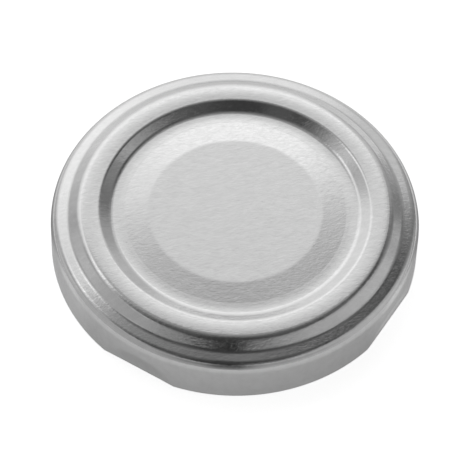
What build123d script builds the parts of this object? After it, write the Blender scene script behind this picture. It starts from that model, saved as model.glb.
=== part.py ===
# Twist-off jar lid: a cap stamped from one disc of tinplate, with a ring of sealing compound inside it.
# Millimetres, +Z up. The lid stands on its rim: the origin is the centre of the rim, on the plane that it
# rests on, and +Z is the axis of the cap. The lugs lie on the X and Y axes.
import os
from math import asin, ceil, cos, degrees, radians, sin

from build123d import *

# Sheet and overall size
sheet_thickness = 0.18
cap_diameter = 62.0
cap_height = 10.6

# Top of the cap, as widths of its rings from the skirt inwards
shoulder_width = 2.96
bead_outer_run = 2.25
bead_width = 2.88
bead_inner_run = 2.08
floor_width = 1.79
button_cone_width = 4.47

# Levels of the top, measured down from the top of the bead
ledge_depth = 1.6
ledge_fall = 0.48
floor_depth = 1.41
button_rise = 0.33

# Round of the shoulder on the outer surface. Flats draw the round bends, with these turns at their corners
shoulder_radius = 1.25
shoulder_corner_turn = 30.0
hem_corner_turn = 60.0

# Curled rim: the edge of the sheet rolled inwards, with radii on the inside of the sheet
rim_bend_inside = 0.57
rim_foot_width = 0.1
curl_inside = 0.44
curl_tuck = 0.45

# Lugs: four stretches of the curl pressed inwards and folded flat
lug_count = 4
press_length = 13.5
press_foot_height = 1.7
press_height = 5.2
press_blend_radius = 8.0
lug_width = 8.0
lug_bend_inside = 0.27
lug_reach = 1.5
lug_fold_inside = 0.18
lug_tuck = 1.45
lug_tilt = 4.0

# Sealing compound, flowed into the channel under the bead
compound_depth = 2.3
compound_inner_gap = 0.7
compound_outer_gap = 1.8

# Radii and levels that follow from the sizes above
cap_radius = cap_diameter / 2
bead_foot = cap_radius - shoulder_width
bead_outer = bead_foot - bead_outer_run
bead_inner = bead_outer - bead_width
floor_outer = bead_inner - bead_inner_run
floor_inner = floor_outer - floor_width
button_radius = floor_inner - button_cone_width
floor_level = cap_height - floor_depth
button_level = floor_level + button_rise
ledge_level = cap_height - ledge_depth
shoulder_level = ledge_level - ledge_fall
rim_level = rim_bend_inside + sheet_thickness
cavity_foot = -1.0

# The outer surface in section, as corners from the centre of the button out to the shoulder and down
panel_corners = [
    (0, button_level),
    (button_radius, button_level),
    (floor_inner, floor_level),
    (floor_outer, floor_level),
    (bead_inner, cap_height),
    (bead_outer, cap_height),
    (bead_foot, ledge_level),
]
shoulder_corner = (cap_radius, shoulder_level)
skirt_foot = (cap_radius, rim_level)

# Each press flattens the skirt to a chord of its circle, between these two half angles
press_half_angle = degrees(asin(press_length / cap_diameter))
chord_ratio = cos(radians(press_half_angle))
press_spacing = 360 / lug_count


def corners_around(arc, corner_turn):
    """Corners of the flats that touch an arc, none turning by more than the corner turn."""
    turn = arc.length / arc.radius
    count = ceil(round(degrees(turn) / corner_turn, 3))
    reach = 1 / cos(turn / count / 2)
    touches = [arc @ ((step + 0.5) / count) for step in range(count)]
    return [arc.arc_center + (touch - arc.arc_center) * reach for touch in touches]


def draw_surface():
    """Draw the outer surface in section, from the centre of the button to the foot of the skirt."""
    rounded = FilletPolyline(
        panel_corners[-1], shoulder_corner, skirt_foot, radius=shoulder_radius, mode=Mode.PRIVATE
    )
    shoulder = rounded.edges().filter_by(GeomType.CIRCLE)[0]
    return Polyline(*panel_corners, *corners_around(shoulder, shoulder_corner_turn), skirt_foot)


def press(surface_radius):
    """Space outside one pressed flat of a skirt surface, upright at the foot and leaning out above it."""
    chord_distance = surface_radius * chord_ratio
    outside = surface_radius + shoulder_width
    lean = (surface_radius - chord_distance) / (press_height - press_foot_height)
    top = press_height + (outside - surface_radius) / lean
    with BuildPart() as space:
        with BuildSketch(Plane.XZ):
            with BuildLine():
                FilletPolyline(
                    (chord_distance, cavity_foot),
                    (chord_distance, press_foot_height),
                    (outside, top),
                    radius=press_blend_radius,
                )
                Polyline((outside, top), (outside, cavity_foot), (chord_distance, cavity_foot))
            make_face()
        extrude(amount=press_length, both=True)
    return space.part


def hem(plane, start, thickness, bend_inside, foot, fold_inside, tuck, tilt):
    """Section of the folded edge below the skirt: bend, foot, fold and the end tucked back."""
    sides = []
    for depth in (0, thickness):
        gap = thickness - depth
        bend = JernArc((start - depth, rim_level), (0, -1), bend_inside + gap, -90 - tilt)
        fold = JernArc(bend @ 1 + (bend % 1) * foot, bend % 1, fold_inside + gap, -180)
        corners = corners_around(bend, hem_corner_turn) + corners_around(fold, hem_corner_turn)
        sides.append([bend @ 0, *corners, fold @ 1 + (fold % 1) * tuck])
    with BuildSketch(plane) as section:
        with BuildLine():
            Polyline(*sides[0], *reversed(sides[1]), close=True)
        make_face()
    return section.sketch


def radial_plane(angle):
    """Upright plane through the axis, with its x direction pointing outwards at the angle."""
    turn = radians(angle)
    return Plane(origin=(0, 0, 0), x_dir=(cos(turn), sin(turn), 0), z_dir=(sin(turn), -cos(turn), 0))


# Outer form of the cap, a solid of revolution with its four flats
with BuildPart() as outer_form:
    with BuildSketch(Plane.XZ):
        with BuildLine():
            surface = draw_surface()
            Polyline(surface @ 1, (0, rim_level), surface @ 0)
        make_face()
    revolve(axis=Axis.Z)
    with PolarLocations(0, lug_count):
        add(press(cap_radius), mode=Mode.SUBTRACT)

# Inner form: the same surface one sheet thickness further in, open at the foot
with BuildPart() as inner_form:
    with BuildSketch(Plane.XZ):
        with BuildLine():
            surface = draw_surface()
            Polyline(surface @ 1, (cap_radius, cavity_foot), (0, cavity_foot), surface @ 0)
        make_face()
        mirror(about=Plane.YZ)
        offset(amount=-sheet_thickness, kind=Kind.INTERSECTION, mode=Mode.REPLACE)
        split(bisect_by=Plane.YZ)
    revolve(axis=Axis.Z)
    with PolarLocations(0, lug_count):
        add(press(cap_radius - sheet_thickness), mode=Mode.SUBTRACT)

# One lug: a straight folded hem, and its two ends that grow out of the round curl
pressed_thickness = sheet_thickness * chord_ratio
curl_section = dict(
    start=cap_radius,
    thickness=sheet_thickness,
    bend_inside=rim_bend_inside,
    foot=rim_foot_width,
    fold_inside=curl_inside,
    tuck=curl_tuck,
    tilt=0,
)
lug_section = dict(
    start=cap_radius * chord_ratio,
    thickness=pressed_thickness,
    bend_inside=lug_bend_inside,
    foot=lug_reach,
    fold_inside=lug_fold_inside,
    tuck=lug_tuck,
    tilt=lug_tilt,
)
with BuildPart() as lug:
    extrude(hem(Plane.XZ, **lug_section), amount=lug_width / 2, both=True)
    for side in (1, -1):
        lug_end = hem(Plane.XZ.offset(-side * lug_width / 2), **lug_section)
        curl_end = hem(radial_plane(side * press_half_angle), **curl_section)
        loft([lug_end, curl_end], ruled=True)

# The curl between two lugs
with BuildPart() as curl:
    curl_end = hem(radial_plane(press_half_angle), **curl_section)
    revolve(curl_end, axis=Axis.Z, revolution_arc=press_spacing - 2 * press_half_angle)

# The cap: stamped sheet, curled rim and lugs in one piece
with BuildPart() as cap_shell:
    add(outer_form.part)
    add(inner_form.part, mode=Mode.SUBTRACT)
    with PolarLocations(0, lug_count):
        add(curl.part)
        add(lug.part)
cap_shell.part.label = "cap_shell"

# The sealing ring fills the channel under the bead, down to one flat face that meets the jar's rim
compound_inner = bead_inner + compound_inner_gap
compound_outer = cap_radius - compound_outer_gap
compound_level = cap_height - compound_depth
with BuildPart() as sealing_ring:
    with BuildSketch(Plane.XZ):
        with BuildLine():
            Polyline(
                (compound_inner, cap_height),
                (compound_inner, compound_level),
                (compound_outer, compound_level),
                (compound_outer, cap_height),
                close=True,
            )
        make_face()
    revolve(axis=Axis.Z)
    add(inner_form.part, mode=Mode.INTERSECT)
sealing_ring.part.label = "sealing_ring"

os.makedirs("parts", exist_ok=True)
export_step(cap_shell.part, "parts/cap_shell.step")
export_step(sealing_ring.part, "parts/sealing_ring.step")
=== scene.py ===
# A twist-off jar lid of bare tinplate, seen from above and in front on a white table.
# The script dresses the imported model: the cap stamped from one sheet, and the sealing compound inside it.
import math

import bmesh
import bpy
from mathutils import Matrix, Vector


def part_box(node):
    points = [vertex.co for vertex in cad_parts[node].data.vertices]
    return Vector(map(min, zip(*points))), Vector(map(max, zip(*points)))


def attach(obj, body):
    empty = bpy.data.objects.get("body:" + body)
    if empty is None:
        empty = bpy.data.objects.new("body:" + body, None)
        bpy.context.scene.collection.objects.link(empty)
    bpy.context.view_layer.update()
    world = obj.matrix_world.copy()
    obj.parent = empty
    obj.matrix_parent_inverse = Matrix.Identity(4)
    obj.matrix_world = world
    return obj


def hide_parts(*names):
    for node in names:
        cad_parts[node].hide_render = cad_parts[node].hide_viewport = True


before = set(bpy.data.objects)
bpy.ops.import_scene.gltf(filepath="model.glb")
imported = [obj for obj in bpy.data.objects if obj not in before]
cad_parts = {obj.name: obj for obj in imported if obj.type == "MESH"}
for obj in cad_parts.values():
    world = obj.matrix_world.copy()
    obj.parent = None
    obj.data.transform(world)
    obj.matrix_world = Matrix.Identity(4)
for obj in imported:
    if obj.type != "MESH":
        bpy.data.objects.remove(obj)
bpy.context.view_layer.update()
mm = 0.001

# The camera stands as the photographer did, looking down at the lid over its front.
# The lens is long, so the circles of the lid stay almost true ellipses.
camera_turn = math.radians(30.0)
camera_height = math.radians(54.61)
camera_distance = 0.5837
camera_roll = math.radians(1.912)
aim_height = 0.00265
aim_aside = -0.00009
sensor_width = 36.0
focal_pixels = 3443.0
frame_pixels = 470.0

towards_camera = Vector((
    math.sin(camera_turn) * math.cos(camera_height),
    -math.cos(camera_turn) * math.cos(camera_height),
    math.sin(camera_height),
))
camera_right = Vector((math.cos(camera_turn), math.sin(camera_turn), 0.0))
lens = bpy.data.cameras.new("photo_camera")
lens.sensor_width = sensor_width
lens.lens = focal_pixels / frame_pixels * sensor_width
lens.clip_start = 0.01
lens.clip_end = 10.0
camera = bpy.data.objects.new("photo_camera", lens)
bpy.context.scene.collection.objects.link(camera)
aim = Vector((0.0, 0.0, aim_height)) - camera_right * aim_aside
look = (-towards_camera).to_track_quat("-Z", "Y").to_matrix()
roll = Matrix.Rotation(camera_roll, 3, "Z")
camera.matrix_world = Matrix.Translation(aim + towards_camera * camera_distance) @ (look @ roll).to_4x4()
bpy.context.scene.camera = camera

# Both pieces are drawn as a section in the XZ plane, which is then turned around the axis of the cap.
# The section grows from its tip, the vertex at its free end.
edge_margin = 0.03 * mm
merge_distance = 0.001 * mm


def straight_on(bm, tip, x, z):
    """Draws the section of the sheet straight on to a point, and returns the vertex there."""
    drawn = bmesh.ops.extrude_vert_indiv(bm, verts=[tip])["verts"][0]
    drawn.co = (x, 0.0, z)
    return drawn


def bend_on(bm, tip, heading, turn, radius, steps):
    """Bends the section from its tip. A positive turn goes down on the way outwards."""
    side = Vector((-heading.z, 0.0, heading.x)) * math.copysign(radius, turn)
    drawn = bmesh.ops.spin(
        bm, geom=[tip], cent=tip.co - side, axis=(0.0, 1.0, 0.0), dvec=(0.0, 0.0, 0.0),
        angle=turn, steps=steps, use_duplicate=False, use_merge=False, use_normal_flip=False,
    )["geom_last"][0]
    return drawn, Matrix.Rotation(turn, 3, "Y") @ heading


def round_corner(bm, tip, corner, after, radius, steps):
    """Draws the section on towards a corner and round it in a bend that heads for the point after it.
    A narrow margin on each side of the bend keeps the smooth shading of the straight parts flat."""
    corner = Vector((corner[0], 0.0, corner[1]))
    came = (corner - tip.co).normalized()
    goes = (Vector((after[0], 0.0, after[1])) - corner).normalized()
    turn = came.angle(goes) * math.copysign(1.0, came.z * goes.x - came.x * goes.z)
    for margin in (edge_margin, 0.0):
        start = corner - came * (radius * math.tan(abs(turn) / 2) + margin)
        tip = straight_on(bm, tip, start.x, start.z)
    tip = bend_on(bm, tip, came, turn, radius, steps)[0]
    end = tip.co + goes * edge_margin
    return straight_on(bm, tip, end.x, end.z)


def round_corners(bm, tip, corners, last):
    """Draws the section round each corner in turn, on its way to the last point."""
    points = [corner for corner, radius, steps in corners] + [last]
    for (corner, radius, steps), after in zip(corners, points[1:]):
        tip = round_corner(bm, tip, corner, after, radius, steps)
    return tip


def turn_round(bm, steps):
    """Turns the whole section once around the axis of the cap and joins its ends."""
    bmesh.ops.spin(
        bm, geom=bm.verts[:] + bm.edges[:], cent=(0.0, 0.0, 0.0), axis=(0.0, 0.0, 1.0),
        dvec=(0.0, 0.0, 0.0), angle=math.tau, steps=steps,
        use_duplicate=False, use_merge=True, use_normal_flip=False,
    )
    bmesh.ops.remove_doubles(bm, verts=bm.verts[:], dist=merge_distance)


def smooth_piece(bm, name):
    """Puts a finished mesh in the scene as a smooth object."""
    mesh = bpy.data.meshes.new(name)
    bm.to_mesh(mesh)
    bm.free()
    mesh.shade_smooth()
    piece = bpy.data.objects.new(name, mesh)
    bpy.context.scene.collection.objects.link(piece)
    return piece


# The cap is one disc of tinplate, 0.18 mm thick, stamped in a press and rolled inwards at its edge.
# From the centre: a raised button, its cone, the floor, the ring bead, a ledge, the shoulder and the skirt.
# At four places the skirt is pressed flat, and the rolled edge under it is folded into a lug.
cap_low, cap_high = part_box("cap_shell")
cap_radius = cap_high.x
cap_height = cap_high.z
sheet = 0.18 * mm
bead_foot = cap_radius - 2.85 * mm
bead_outer = bead_foot - 1.96 * mm
bead_inner = bead_outer - 3.35 * mm
floor_outer = bead_inner - 1.93 * mm
floor_inner = floor_outer - 2.24 * mm
button_radius = floor_inner - 4.07 * mm
floor_level = cap_height - 1.07 * mm
button_level = floor_level + 0.27 * mm
ledge_level = cap_height - 1.43 * mm
shoulder_level = ledge_level - 0.65 * mm
crown_fall = 0.07 * mm
crown_rise = 0.025 * mm
floor_sag = 0.043 * mm
rim_level = 0.75 * mm
skirt_rows = 14
cap_steps = 400

# The rolled edge: the curl between the lugs, and the flatter fold under each lug
curl_fold = 0.62 * mm
curl_foot = 0.1 * mm
curl_tuck = 0.45 * mm
lug_count = 4
lug_bend = 0.45 * mm
lug_fold = 0.36 * mm
lug_foot = 1.5 * mm
lug_tuck = 1.45 * mm
lug_tilt = math.radians(4.0)
lug_half_width = 4.0 * mm
bend_steps = 8
fold_steps = 12

# The pressed flats: upright up to their foot, then leaning out to meet the round skirt at their top
press_half_length = 6.75 * mm
press_foot = 1.7 * mm
press_top = 5.2 * mm
lean_softness = 0.25 * mm
edge_softness = 0.08 * mm
press_reach = press_half_length * 1.25
press_ceiling = press_top * 1.3

# The outer face from the button outwards: where each corner is, the radius of its bend and the bend's steps
crown_middle = (bead_inner + bead_outer) / 2
floor_middle = (floor_inner + floor_outer) / 2
cap_corners = [
    ((button_radius, button_level), 7.9 * mm, 3),
    ((floor_inner, floor_level), 2.6 * mm, 3),
    ((floor_middle, floor_level - floor_sag), 12.0 * mm, 3),
    ((floor_outer, floor_level), 2.0 * mm, 8),
    ((bead_inner, cap_height - crown_fall), 1.38 * mm, 7),
    ((crown_middle, cap_height + crown_rise), 15.0 * mm, 3),
    ((bead_outer, cap_height - crown_fall), 2.26 * mm, 9),
    ((bead_foot, ledge_level), 1.85 * mm, 6),
    ((cap_radius, shoulder_level), 1.84 * mm, 12),
]


def roll_edge(bm, tip, bend, foot, fold, tuck, tilt):
    """Draws the edge of the sheet below the skirt: a bend inwards, a foot, the fold and the tucked end."""
    tip, heading = bend_on(bm, tip, Vector((0.0, 0.0, -1.0)), math.pi / 2 + tilt, bend, bend_steps)
    end = tip.co + heading * foot
    tip = straight_on(bm, tip, end.x, end.z)
    tip, heading = bend_on(bm, tip, heading, math.pi, fold, fold_steps)
    end = tip.co + heading * tuck
    return straight_on(bm, tip, end.x, end.z)


section = bmesh.new()
tip = section.verts.new((0.0, 0.0, button_level))
tip = round_corners(section, tip, cap_corners, (cap_radius, rim_level))
skirt_top = tip.co.z
for row in range(1, skirt_rows + 1):
    tip = straight_on(section, tip, cap_radius, skirt_top + (rim_level - skirt_top) * row / skirt_rows)
first_rolled = len(section.verts)
roll_edge(section, tip, rim_level, curl_foot, curl_fold, curl_tuck, 0.0)
curl_points = [vert.co.copy() for vert in section.verts][first_rolled:]

chord = math.sqrt(cap_radius ** 2 - press_half_length ** 2)
lug_section = bmesh.new()
tip = lug_section.verts.new((chord, 0.0, rim_level))
roll_edge(lug_section, tip, lug_bend, lug_foot, lug_fold, lug_tuck, lug_tilt)
lug_points = [vert.co.copy() for vert in lug_section.verts][1:]
lug_section.free()

row_of = section.verts.layers.int.new("row")
for row, vert in enumerate(section.verts):
    vert[row_of] = row
turn_round(section, cap_steps)


def soft_least(first, second, softness):
    """The smaller of two lengths, with the change from one to the other rounded off."""
    return 0.5 * (first + second - math.sqrt((first - second) ** 2 + softness ** 2))


def flat_distance(height):
    """How far a pressed flat stands from the axis at a height on the skirt."""
    lean = (cap_radius - chord) / (press_top - press_foot)
    return -soft_least(-chord, -(chord + (height - press_foot) * lean), lean_softness)


# Each press flattens the skirt between its two ends, and turns the curl below into a lug
press_turn = math.asin(press_half_length / cap_radius)
for number in range(lug_count):
    to_lug = Matrix.Rotation(-math.tau * number / lug_count, 3, "Z")
    from_lug = to_lug.inverted()
    for vert in section.verts:
        place = to_lug @ vert.co
        if place.x < 0 or abs(place.y) > press_reach or place.z > press_ceiling:
            continue
        if math.hypot(place.x, place.y) < bead_foot:
            continue
        row = vert[row_of]
        if row < first_rolled:
            place.x = soft_least(place.x, flat_distance(place.z), edge_softness)
            vert.co = from_lug @ place
            continue
        turn = math.atan2(place.y, place.x)
        if abs(turn) > press_turn:
            continue
        curl = curl_points[row - first_rolled]
        lug = lug_points[row - first_rolled]
        side = math.copysign(1.0, turn)
        along = cap_radius * abs(math.sin(turn))
        share = min(1.0, max(0.0, (press_half_length - along) / (press_half_length - lug_half_width)))
        share = share * share * (3 - 2 * share)
        lug_end = Vector((lug.x, side * min(along, lug_half_width), lug.z))
        curl_end = Vector((curl.x * math.cos(press_turn), side * curl.x * math.sin(press_turn), curl.z))
        vert.co = from_lug @ curl_end.lerp(lug_end, share)
bmesh.ops.recalc_face_normals(section, faces=section.faces[:])

tinplate_cap = smooth_piece(section, "tinplate_cap")
thickness = tinplate_cap.modifiers.new("sheet", "SOLIDIFY")
thickness.thickness = sheet
thickness.offset = -1.0
thickness.use_even_offset = True
thickness.material_offset = 1
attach(tinplate_cap, "root")
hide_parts("cap_shell")

# Rolled grain, for the tin and the lacquer: short streaks along the way in which the sheet was rolled.
# Soft puts out broad faint streaks, and Fine puts out narrow ones.
rolling_turn = math.radians(-45.0)
grain_length = 1250.0
grain_width = 2700.0
grain_roughness = 0.6

# Each kind of streak: its name, scale, detail and distortion
grain_kinds = (("Soft", 0.45, 2.0, 0.3), ("Fine", 1.0, 2.0, 0.7))

grain = bpy.data.node_groups.new("rolled_grain", "ShaderNodeTree")
for name, default in (("Turn", rolling_turn), ("Length", grain_length), ("Width", grain_width)):
    grain.interface.new_socket(name, in_out="INPUT", socket_type="NodeSocketFloat").default_value = default
for name, *settings in grain_kinds:
    grain.interface.new_socket(name, in_out="OUTPUT", socket_type="NodeSocketFloat")
taken = grain.nodes.new("NodeGroupInput")
given = grain.nodes.new("NodeGroupOutput")
place = grain.nodes.new("ShaderNodeTexCoord")
spun = grain.nodes.new("ShaderNodeVectorRotate")
spun.rotation_type = "Z_AXIS"
grain.links.new(place.outputs["Object"], spun.inputs["Vector"])
grain.links.new(taken.outputs["Turn"], spun.inputs["Angle"])
stretch = grain.nodes.new("ShaderNodeCombineXYZ")
grain.links.new(taken.outputs["Length"], stretch.inputs["X"])
grain.links.new(taken.outputs["Width"], stretch.inputs["Y"])
grain.links.new(taken.outputs["Length"], stretch.inputs["Z"])
stretched = grain.nodes.new("ShaderNodeVectorMath")
stretched.operation = "MULTIPLY"
grain.links.new(spun.outputs["Vector"], stretched.inputs[0])
grain.links.new(stretch.outputs["Vector"], stretched.inputs[1])
for name, scale, detail, distortion in grain_kinds:
    streaks = grain.nodes.new("ShaderNodeTexNoise")
    streaks.inputs["Scale"].default_value = scale
    streaks.inputs["Detail"].default_value = detail
    streaks.inputs["Roughness"].default_value = grain_roughness
    streaks.inputs["Distortion"].default_value = distortion
    grain.links.new(stretched.outputs["Vector"], streaks.inputs["Vector"])
    grain.links.new(streaks.outputs["Fac"], given.inputs[name])


def material_on(piece, name):
    """Adds a new material to a piece, and returns its node tree and its shader."""
    material = bpy.data.materials.new(name)
    material.use_nodes = True
    piece.data.materials.append(material)
    return material.node_tree, material.node_tree.nodes["Principled BSDF"]


def grain_in(tree):
    """Puts the rolled grain in a material."""
    streaks = tree.nodes.new("ShaderNodeGroup")
    streaks.node_tree = grain
    return streaks


def spread(tree, value, span, levels=(0.0, 1.0), kind="LINEAR"):
    """A value mapped from a span to two levels, in a straight line or in a smooth step."""
    node = tree.nodes.new("ShaderNodeMapRange")
    node.interpolation_type = kind
    tree.links.new(value, node.inputs["Value"])
    for name, number in zip(("From Min", "From Max", "To Min", "To Max"), (*span, *levels)):
        node.inputs[name].default_value = number
    return node.outputs["Result"]


def blend(tree, value, first, second):
    """A colour between two, by a value from 0 to 1."""
    node = tree.nodes.new("ShaderNodeMix")
    node.data_type = "RGBA"
    tree.links.new(value, node.inputs["Factor"])
    node.inputs["A"].default_value = (*first, 1.0)
    node.inputs["B"].default_value = (*second, 1.0)
    return node.outputs["Result"]


def pressed_in(tree, value, depth, under=None):
    """The normal of a surface that a value raises and lowers by a depth, on top of a coarser one."""
    node = tree.nodes.new("ShaderNodeBump")
    node.inputs["Strength"].default_value = 1.0
    node.inputs["Distance"].default_value = depth
    tree.links.new(value, node.inputs["Height"])
    if under:
        tree.links.new(under, node.inputs["Normal"])
    return node.outputs["Normal"]


def maths(tree, kind, *terms):
    """The result of a maths node on sockets or plain numbers."""
    node = tree.nodes.new("ShaderNodeMath")
    node.operation = kind
    for socket, term in zip(node.inputs, terms):
        if isinstance(term, (int, float)):
            socket.default_value = term
        else:
            tree.links.new(term, socket)
    return node.outputs[0]


def ramp(tree, value, span, stops):
    """The level at a value within a span. Each stop, in rising order, is a value and its level."""
    low, high = span
    node = tree.nodes.new("ShaderNodeValToRGB")
    tree.links.new(spread(tree, value, span), node.inputs[0])
    elements = node.color_ramp.elements
    while len(elements) > 1:
        elements.remove(elements[-1])
    for number, (stop, level) in enumerate(stops):
        position = (stop - low) / (high - low)
        element = elements.new(position) if number else elements[0]
        element.position = position
        element.color = (level, level, level, 1.0)
    return node.outputs["Color"]


# Bare tin on the outside: a neutral grey mirror, dulled along the grain.
dark_tin = (0.58, 0.58, 0.58)
light_tin = (0.62, 0.62, 0.62)
tin_edge = (0.7, 0.7, 0.7, 1.0)
tin_roughness = (0.08, 0.22)
soft_wave = 0.008 * mm
fine_wave = 0.0115 * mm
soft_span = (0.3, 0.7)
fine_span = (0.4, 0.7)
tree, shader = material_on(tinplate_cap, "tinplate")
streaks = grain_in(tree)
shader.inputs["Metallic"].default_value = 1.0
shader.inputs["Specular Tint"].default_value = tin_edge
tone = spread(tree, streaks.outputs["Soft"], soft_span)
tree.links.new(blend(tree, tone, dark_tin, light_tin), shader.inputs["Base Color"])
tree.links.new(spread(tree, streaks.outputs["Fine"], fine_span, tin_roughness), shader.inputs["Roughness"])
waves = pressed_in(tree, streaks.outputs["Soft"], soft_wave)
tree.links.new(pressed_in(tree, streaks.outputs["Fine"], fine_wave, waves), shader.inputs["Normal"])

# Off-white lacquer on the inside: glossy, with the grain of the sheet faintly under it.
dark_lacquer = (0.8, 0.785, 0.73)
light_lacquer = (0.83, 0.815, 0.765)
lacquer_roughness = (0.24, 0.34)
lacquer_wave = 0.002 * mm
lacquer_span = (0.35, 0.7)
tree, shader = material_on(tinplate_cap, "lacquer")
streaks = grain_in(tree)
tone = spread(tree, streaks.outputs["Soft"], soft_span)
tree.links.new(blend(tree, tone, dark_lacquer, light_lacquer), shader.inputs["Base Color"])
gloss = spread(tree, streaks.outputs["Fine"], lacquer_span, lacquer_roughness)
tree.links.new(gloss, shader.inputs["Roughness"])
tree.links.new(pressed_in(tree, streaks.outputs["Fine"], lacquer_wave), shader.inputs["Normal"])

# The sealing ring is a soft white compound that was poured in and cured.
# It fills the channel under the bead, climbs its walls a little, and takes the print of a jar's rim.
channel_roof = cap_height - sheet
compound_level = cap_height - 2.3 * mm
compound_inner = bead_inner + 0.62 * mm
compound_outer = cap_radius - 1.8 * mm
compound_lip = 0.25 * mm
compound_climb = 0.6 * mm
print_inner = compound_inner + 1.5 * mm
print_outer = compound_outer - 1.3 * mm
print_depth = 0.15 * mm
print_slope = 0.3 * mm
under_ledge = compound_level + 0.33 * mm
ledge_rise = 0.2 * mm
compound_steps = 240
compound_corners = [
    ((compound_inner, compound_level), 0.5 * mm, 7),
    ((print_inner, compound_level), 0.3 * mm, 3),
    ((print_inner + print_slope, compound_level + print_depth), 0.3 * mm, 3),
    ((print_outer - print_slope, compound_level + print_depth), 0.3 * mm, 3),
    ((print_outer, compound_level), 0.3 * mm, 3),
    ((compound_outer, compound_level), 0.25 * mm, 6),
]
section = bmesh.new()
first = section.verts.new((compound_inner - compound_lip, 0.0, channel_roof))
tip = straight_on(section, first, compound_inner, channel_roof - compound_climb)
tip = round_corners(section, tip, compound_corners, (compound_outer, under_ledge))
tip = straight_on(section, tip, compound_outer, under_ledge)
tip = straight_on(section, tip, bead_foot, under_ledge + ledge_rise)
tip = straight_on(section, tip, bead_outer, channel_roof)
section.edges.new((tip, first))
turn_round(section, compound_steps)
bmesh.ops.recalc_face_normals(section, faces=section.faces[:])
compound_ring = smooth_piece(section, "compound_ring")
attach(compound_ring, "root")
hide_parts("sealing_ring")

# The compound is satin, a little uneven in level and tone where it flowed and cured.
flow_scale = 220.0
flow_detail = 3.0
dark_compound = (0.7, 0.67, 0.6)
light_compound = (0.76, 0.735, 0.67)
compound_roughness = (0.42, 0.55)
flow_wave = 0.12 * mm
tone_span = (0.35, 0.65)
gloss_span = (0.3, 0.7)
tree, shader = material_on(compound_ring, "compound")
place = tree.nodes.new("ShaderNodeTexCoord")
flow = tree.nodes.new("ShaderNodeTexNoise")
flow.inputs["Scale"].default_value = flow_scale
flow.inputs["Detail"].default_value = flow_detail
tree.links.new(place.outputs["Object"], flow.inputs["Vector"])
tone = spread(tree, flow.outputs["Fac"], tone_span)
tree.links.new(blend(tree, tone, dark_compound, light_compound), shader.inputs["Base Color"])
gloss = spread(tree, flow.outputs["Fac"], gloss_span, compound_roughness)
tree.links.new(gloss, shader.inputs["Roughness"])
tree.links.new(pressed_in(tree, flow.outputs["Fac"], flow_wave), shader.inputs["Normal"])

# The table is white, and so is all that the camera sees beside the lid.
# What the metal mirrors of it glows with painted light and shade: bright well behind the lid, and dull
# beside its middle and close to it, a painted shadow of the lid on the table.
table_size = 1.2
table_grey = (0.8, 0.8, 0.8, 1.0)
seen_glow = 0.74
# Levels of the mirrored glow by depth from the camera: painted light well behind the lid, painted shade
# beside its middle
depth_span = (-100 * mm, 100 * mm)
painted_light_and_shade_levels = (
    (-100 * mm, 0.22), (-34 * mm, 0.24), (-21 * mm, 0.27), (-16 * mm, 0.42), (-10 * mm, 0.42),
    (-2 * mm, 0.25), (2 * mm, 0.0), (10 * mm, 0.0), (40 * mm, 0.52), (100 * mm, 0.54),
)
# Levels of the mirrored glow from the lid's edge outwards: a painted shadow of the lid close to it
edge_span = (31 * mm, 38 * mm)
painted_shade_levels = (0.0, 0.06)

table = bmesh.new()
bmesh.ops.create_grid(table, x_segments=1, y_segments=1, size=table_size)
table_top = smooth_piece(table, "table")
tree, shader = material_on(table_top, "white_table")
shader.inputs["Base Color"].default_value = table_grey
shader.inputs["Roughness"].default_value = 1.0
shader.inputs["Specular IOR Level"].default_value = 0.0
shader.inputs["Emission Color"].default_value = (1.0, 1.0, 1.0, 1.0)
rays = tree.nodes.new("ShaderNodeLightPath")
place = tree.nodes.new("ShaderNodeTexCoord")
behind_lid = tree.nodes.new("ShaderNodeVectorMath")
behind_lid.operation = "DOT_PRODUCT"
behind_lid.inputs[1].default_value = (-math.sin(camera_turn), math.cos(camera_turn), 0.0)
tree.links.new(place.outputs["Object"], behind_lid.inputs[0])
from_middle = tree.nodes.new("ShaderNodeVectorMath")
from_middle.operation = "LENGTH"
tree.links.new(place.outputs["Object"], from_middle.inputs[0])
painted_light_and_shade = ramp(tree, behind_lid.outputs["Value"], depth_span, painted_light_and_shade_levels)
painted_shade_lift = spread(tree, from_middle.outputs["Value"], edge_span, painted_shade_levels)
# Only rays that the metal mirrors get this painted light and shade
mirrored = maths(tree, "MAXIMUM", rays.outputs["Is Glossy Ray"], rays.outputs["Is Transmission Ray"])
painted_mirror_glow = maths(tree, "MULTIPLY", maths(tree, "ADD", painted_light_and_shade, painted_shade_lift), mirrored)
glow = maths(tree, "MULTIPLY_ADD", rays.outputs["Is Camera Ray"], seen_glow, painted_mirror_glow)
tree.links.new(glow, shader.inputs["Emission Strength"])

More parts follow.
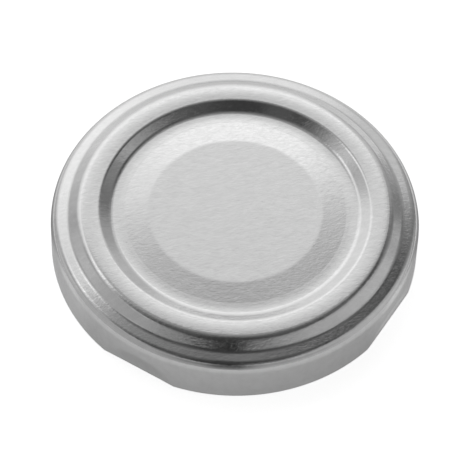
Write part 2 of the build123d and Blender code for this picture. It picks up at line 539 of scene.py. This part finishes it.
# The light tent: bright cloth behind, softboxes left and right in front, and a dark gap overhead.
# Its walls go round from behind the lid, over its left side and the camera, to its right side and the back.
# Each starts at a bearing, comes in softly over some degrees, and has a level at each height in degrees.
# The levels are thinned and rounded from a fit to the brightness of the lid in the photo, not set by eye.
back = (
    (-20, 0.95), (-8, 1.05), (0, 0.95), (12, 1.12), (24, 1.2), (33, 1.3), (41, 1.3), (45, 1.58), (48, 1.27),
    (52, 1.06), (57, 0.9), (63, 0.72), (66.5, 0.33), (73, 0.4), (79, 0.29), (88, 0.13),
)
walls = [
    (-169, 9, (
        (0, 1.1), (12, 1.12), (24, 1.28), (34, 1.42), (42, 1.38), (50, 1.28), (54, 1.0), (57, 0.78),
        (62, 0.54), (66, 0.33), (72, 0.4), (78, 0.32), (84, 0.15),
    )),
    (-155, 9, (
        (0, 0.96), (12, 1.03), (24, 1.22), (36, 1.37), (43, 1.36), (50, 1.02), (55, 0.83), (61, 0.59),
        (68, 0.48), (76, 0.34), (84, 0.14),
    )),
    (-145, 9, (
        (0, 0.8), (12, 0.82), (18, 1.0), (30, 1.17), (40, 1.26), (51, 1.17), (55, 0.95), (60, 0.75),
        (63, 0.47), (70, 0.4), (78, 0.28), (84, 0.13),
    )),
    (-135, 9, (
        (3, 0.72), (14, 0.66), (24, 0.85), (30, 1.03), (42, 1.05), (49, 1.1), (54, 1.25), (58, 1.4),
        (61, 1.02), (64, 0.55), (69, 0.34), (78, 0.22), (84, 0.13),
    )),
    (-125, 9, (
        (0, 0.65), (15, 0.55), (25, 0.57), (35, 0.68), (44, 0.75), (50, 1.0), (53, 1.25), (55.5, 2.2),
        (58, 1.25), (60, 0.95), (67, 0.39), (75, 0.27), (84, 0.23),
    )),
    (-115, 9, (
        (0, 0.65), (12, 0.6), (18, 0.73), (26, 0.66), (33, 0.58), (41, 0.45), (47, 0.82), (51, 1.15),
        (53, 1.4), (55, 1.0), (58, 0.78), (63, 0.42), (69, 0.26),
    )),
    (-104, 11, (
        (0, 0.67), (15, 0.64), (27, 0.78), (36, 0.62), (42, 0.52), (49, 0.73), (54, 0.62), (60, 0.39),
        (66, 0.21), (72, 0.18), (84, 0.12),
    )),
    (-92, 13, (
        (0, 0.65), (18, 0.6), (33, 0.62), (42, 0.52), (50, 0.58), (54, 0.46), (58, 0.24), (66, 0.2),
        (74, 0.12),
    )),
    (-76, 16, (
        (0, 0.61), (12, 0.56), (30, 0.53), (41, 0.52), (46, 0.45), (52, 0.66), (55, 0.55), (58, 0.2),
        (61, 0.07), (72, 0.12), (84, 0.2),
    )),
    (-57, 20, (
        (0, 0.57), (12, 0.51), (36, 0.47), (45, 0.52), (50, 0.33), (57, 0.28), (61, 0.12), (84, 0.12),
    )),
    (-34, 22, (
        (0, 0.54), (18, 0.41), (30, 0.33), (36, 0.28), (43, 0.4), (48, 0.57), (51, 0.28), (54, 0.06),
        (62, 0.06),
    )),
    (-10, 18, (
        (0, 0.45), (12, 0.27), (24, 0.14), (36, 0.07), (47, 0.12), (51, 0.03), (84, 0.08),
    )),
    (10, 18, (
        (0, 0.64), (18, 0.48), (33, 0.41), (42, 0.43), (48, 0.6), (51, 0.42), (54, 0.15), (62, 0.21),
        (66, 0.07),
    )),
    (34, 20, (
        (0, 0.64), (12, 0.57), (24, 0.47), (36, 0.46), (46, 0.63), (51, 0.4), (58, 0.36), (63, 0.1),
    )),
    (58, 22, (
        (0, 0.67), (12, 0.65), (30, 0.6), (40, 0.62), (46, 0.53), (52, 0.55), (56, 0.52), (60, 0.28),
        (63, 0.14),
    )),
    (80, 18, (
        (0, 0.66), (18, 0.66), (30, 0.71), (36, 0.65), (45, 0.6), (55, 0.4), (60, 0.17), (68, 0.06),
        (76, 0.13),
    )),
    (97, 12, (
        (0, 0.63), (14, 0.6), (20, 0.71), (26, 0.7), (33, 0.6), (41, 0.52), (46, 0.6), (52, 0.44),
        (58, 0.17),
    )),
    (111, 10, (
        (0, 0.48), (9, 0.4), (17, 0.7), (24, 0.42), (42, 0.29), (52, 0.12), (84, 0.25),
    )),
    (123, 10, (
        (0, 0.42), (9, 0.27), (15, 0.35), (30, 0.24), (45, 0.23), (52, 0.1), (66, 0.12),
    )),
    (137, 11, (
        (0, 0.58), (9, 0.43), (15, 0.52), (36, 0.46), (41, 0.32), (48, 0.25), (54, 0.12), (60, 0.27),
        (66, 0.42), (72, 0.46), (78, 0.23),
    )),
    (149, 9, (
        (0, 0.71), (12, 0.71), (30, 0.79), (42, 0.87), (50, 0.76), (54, 0.57), (60, 0.43), (66, 0.32),
        (73, 0.4), (80, 0.25),
    )),
    (166.5, 13, back),
]
degree = 180 / math.pi
angle_span = (-180.0, 180.0)

world = bpy.data.worlds.new("light_tent")
bpy.context.scene.world = world
world.use_nodes = True
tree = world.node_tree
background = tree.nodes["Background"]
direction = tree.nodes.new("ShaderNodeTexCoord")
turned = tree.nodes.new("ShaderNodeMapping")
turned.vector_type = "POINT"
turned.inputs["Rotation"].default_value[2] = -camera_turn
tree.links.new(direction.outputs["Generated"], turned.inputs["Vector"])
split = tree.nodes.new("ShaderNodeSeparateXYZ")
tree.links.new(turned.outputs["Vector"], split.inputs[0])
height = maths(tree, "MULTIPLY", maths(tree, "ARCSINE", split.outputs["Z"]), degree)
towards = maths(tree, "MULTIPLY", split.outputs["Y"], -1.0)
bearing = maths(tree, "MULTIPLY", maths(tree, "ARCTAN2", split.outputs["X"], towards), degree)

level = ramp(tree, height, angle_span, back)
for start, softness, stops in walls:
    wall = ramp(tree, height, angle_span, stops)
    share = spread(tree, bearing, (start - softness / 2, start + softness / 2), kind="SMOOTHSTEP")
    change = maths(tree, "MULTIPLY", share, maths(tree, "SUBTRACT", wall, level))
    level = maths(tree, "ADD", level, change)

# The camera itself sees plain white beyond the table
rays = tree.nodes.new("ShaderNodeLightPath")
unseen = maths(tree, "MULTIPLY", level, maths(tree, "SUBTRACT", 1.0, rays.outputs["Is Camera Ray"]))
background.inputs["Color"].default_value = (1.0, 1.0, 1.0, 1.0)
tree.links.new(maths(tree, "ADD", unseen, rays.outputs["Is Camera Ray"]), background.inputs["Strength"])

bpy.context.scene.view_settings.view_transform = "Standard"
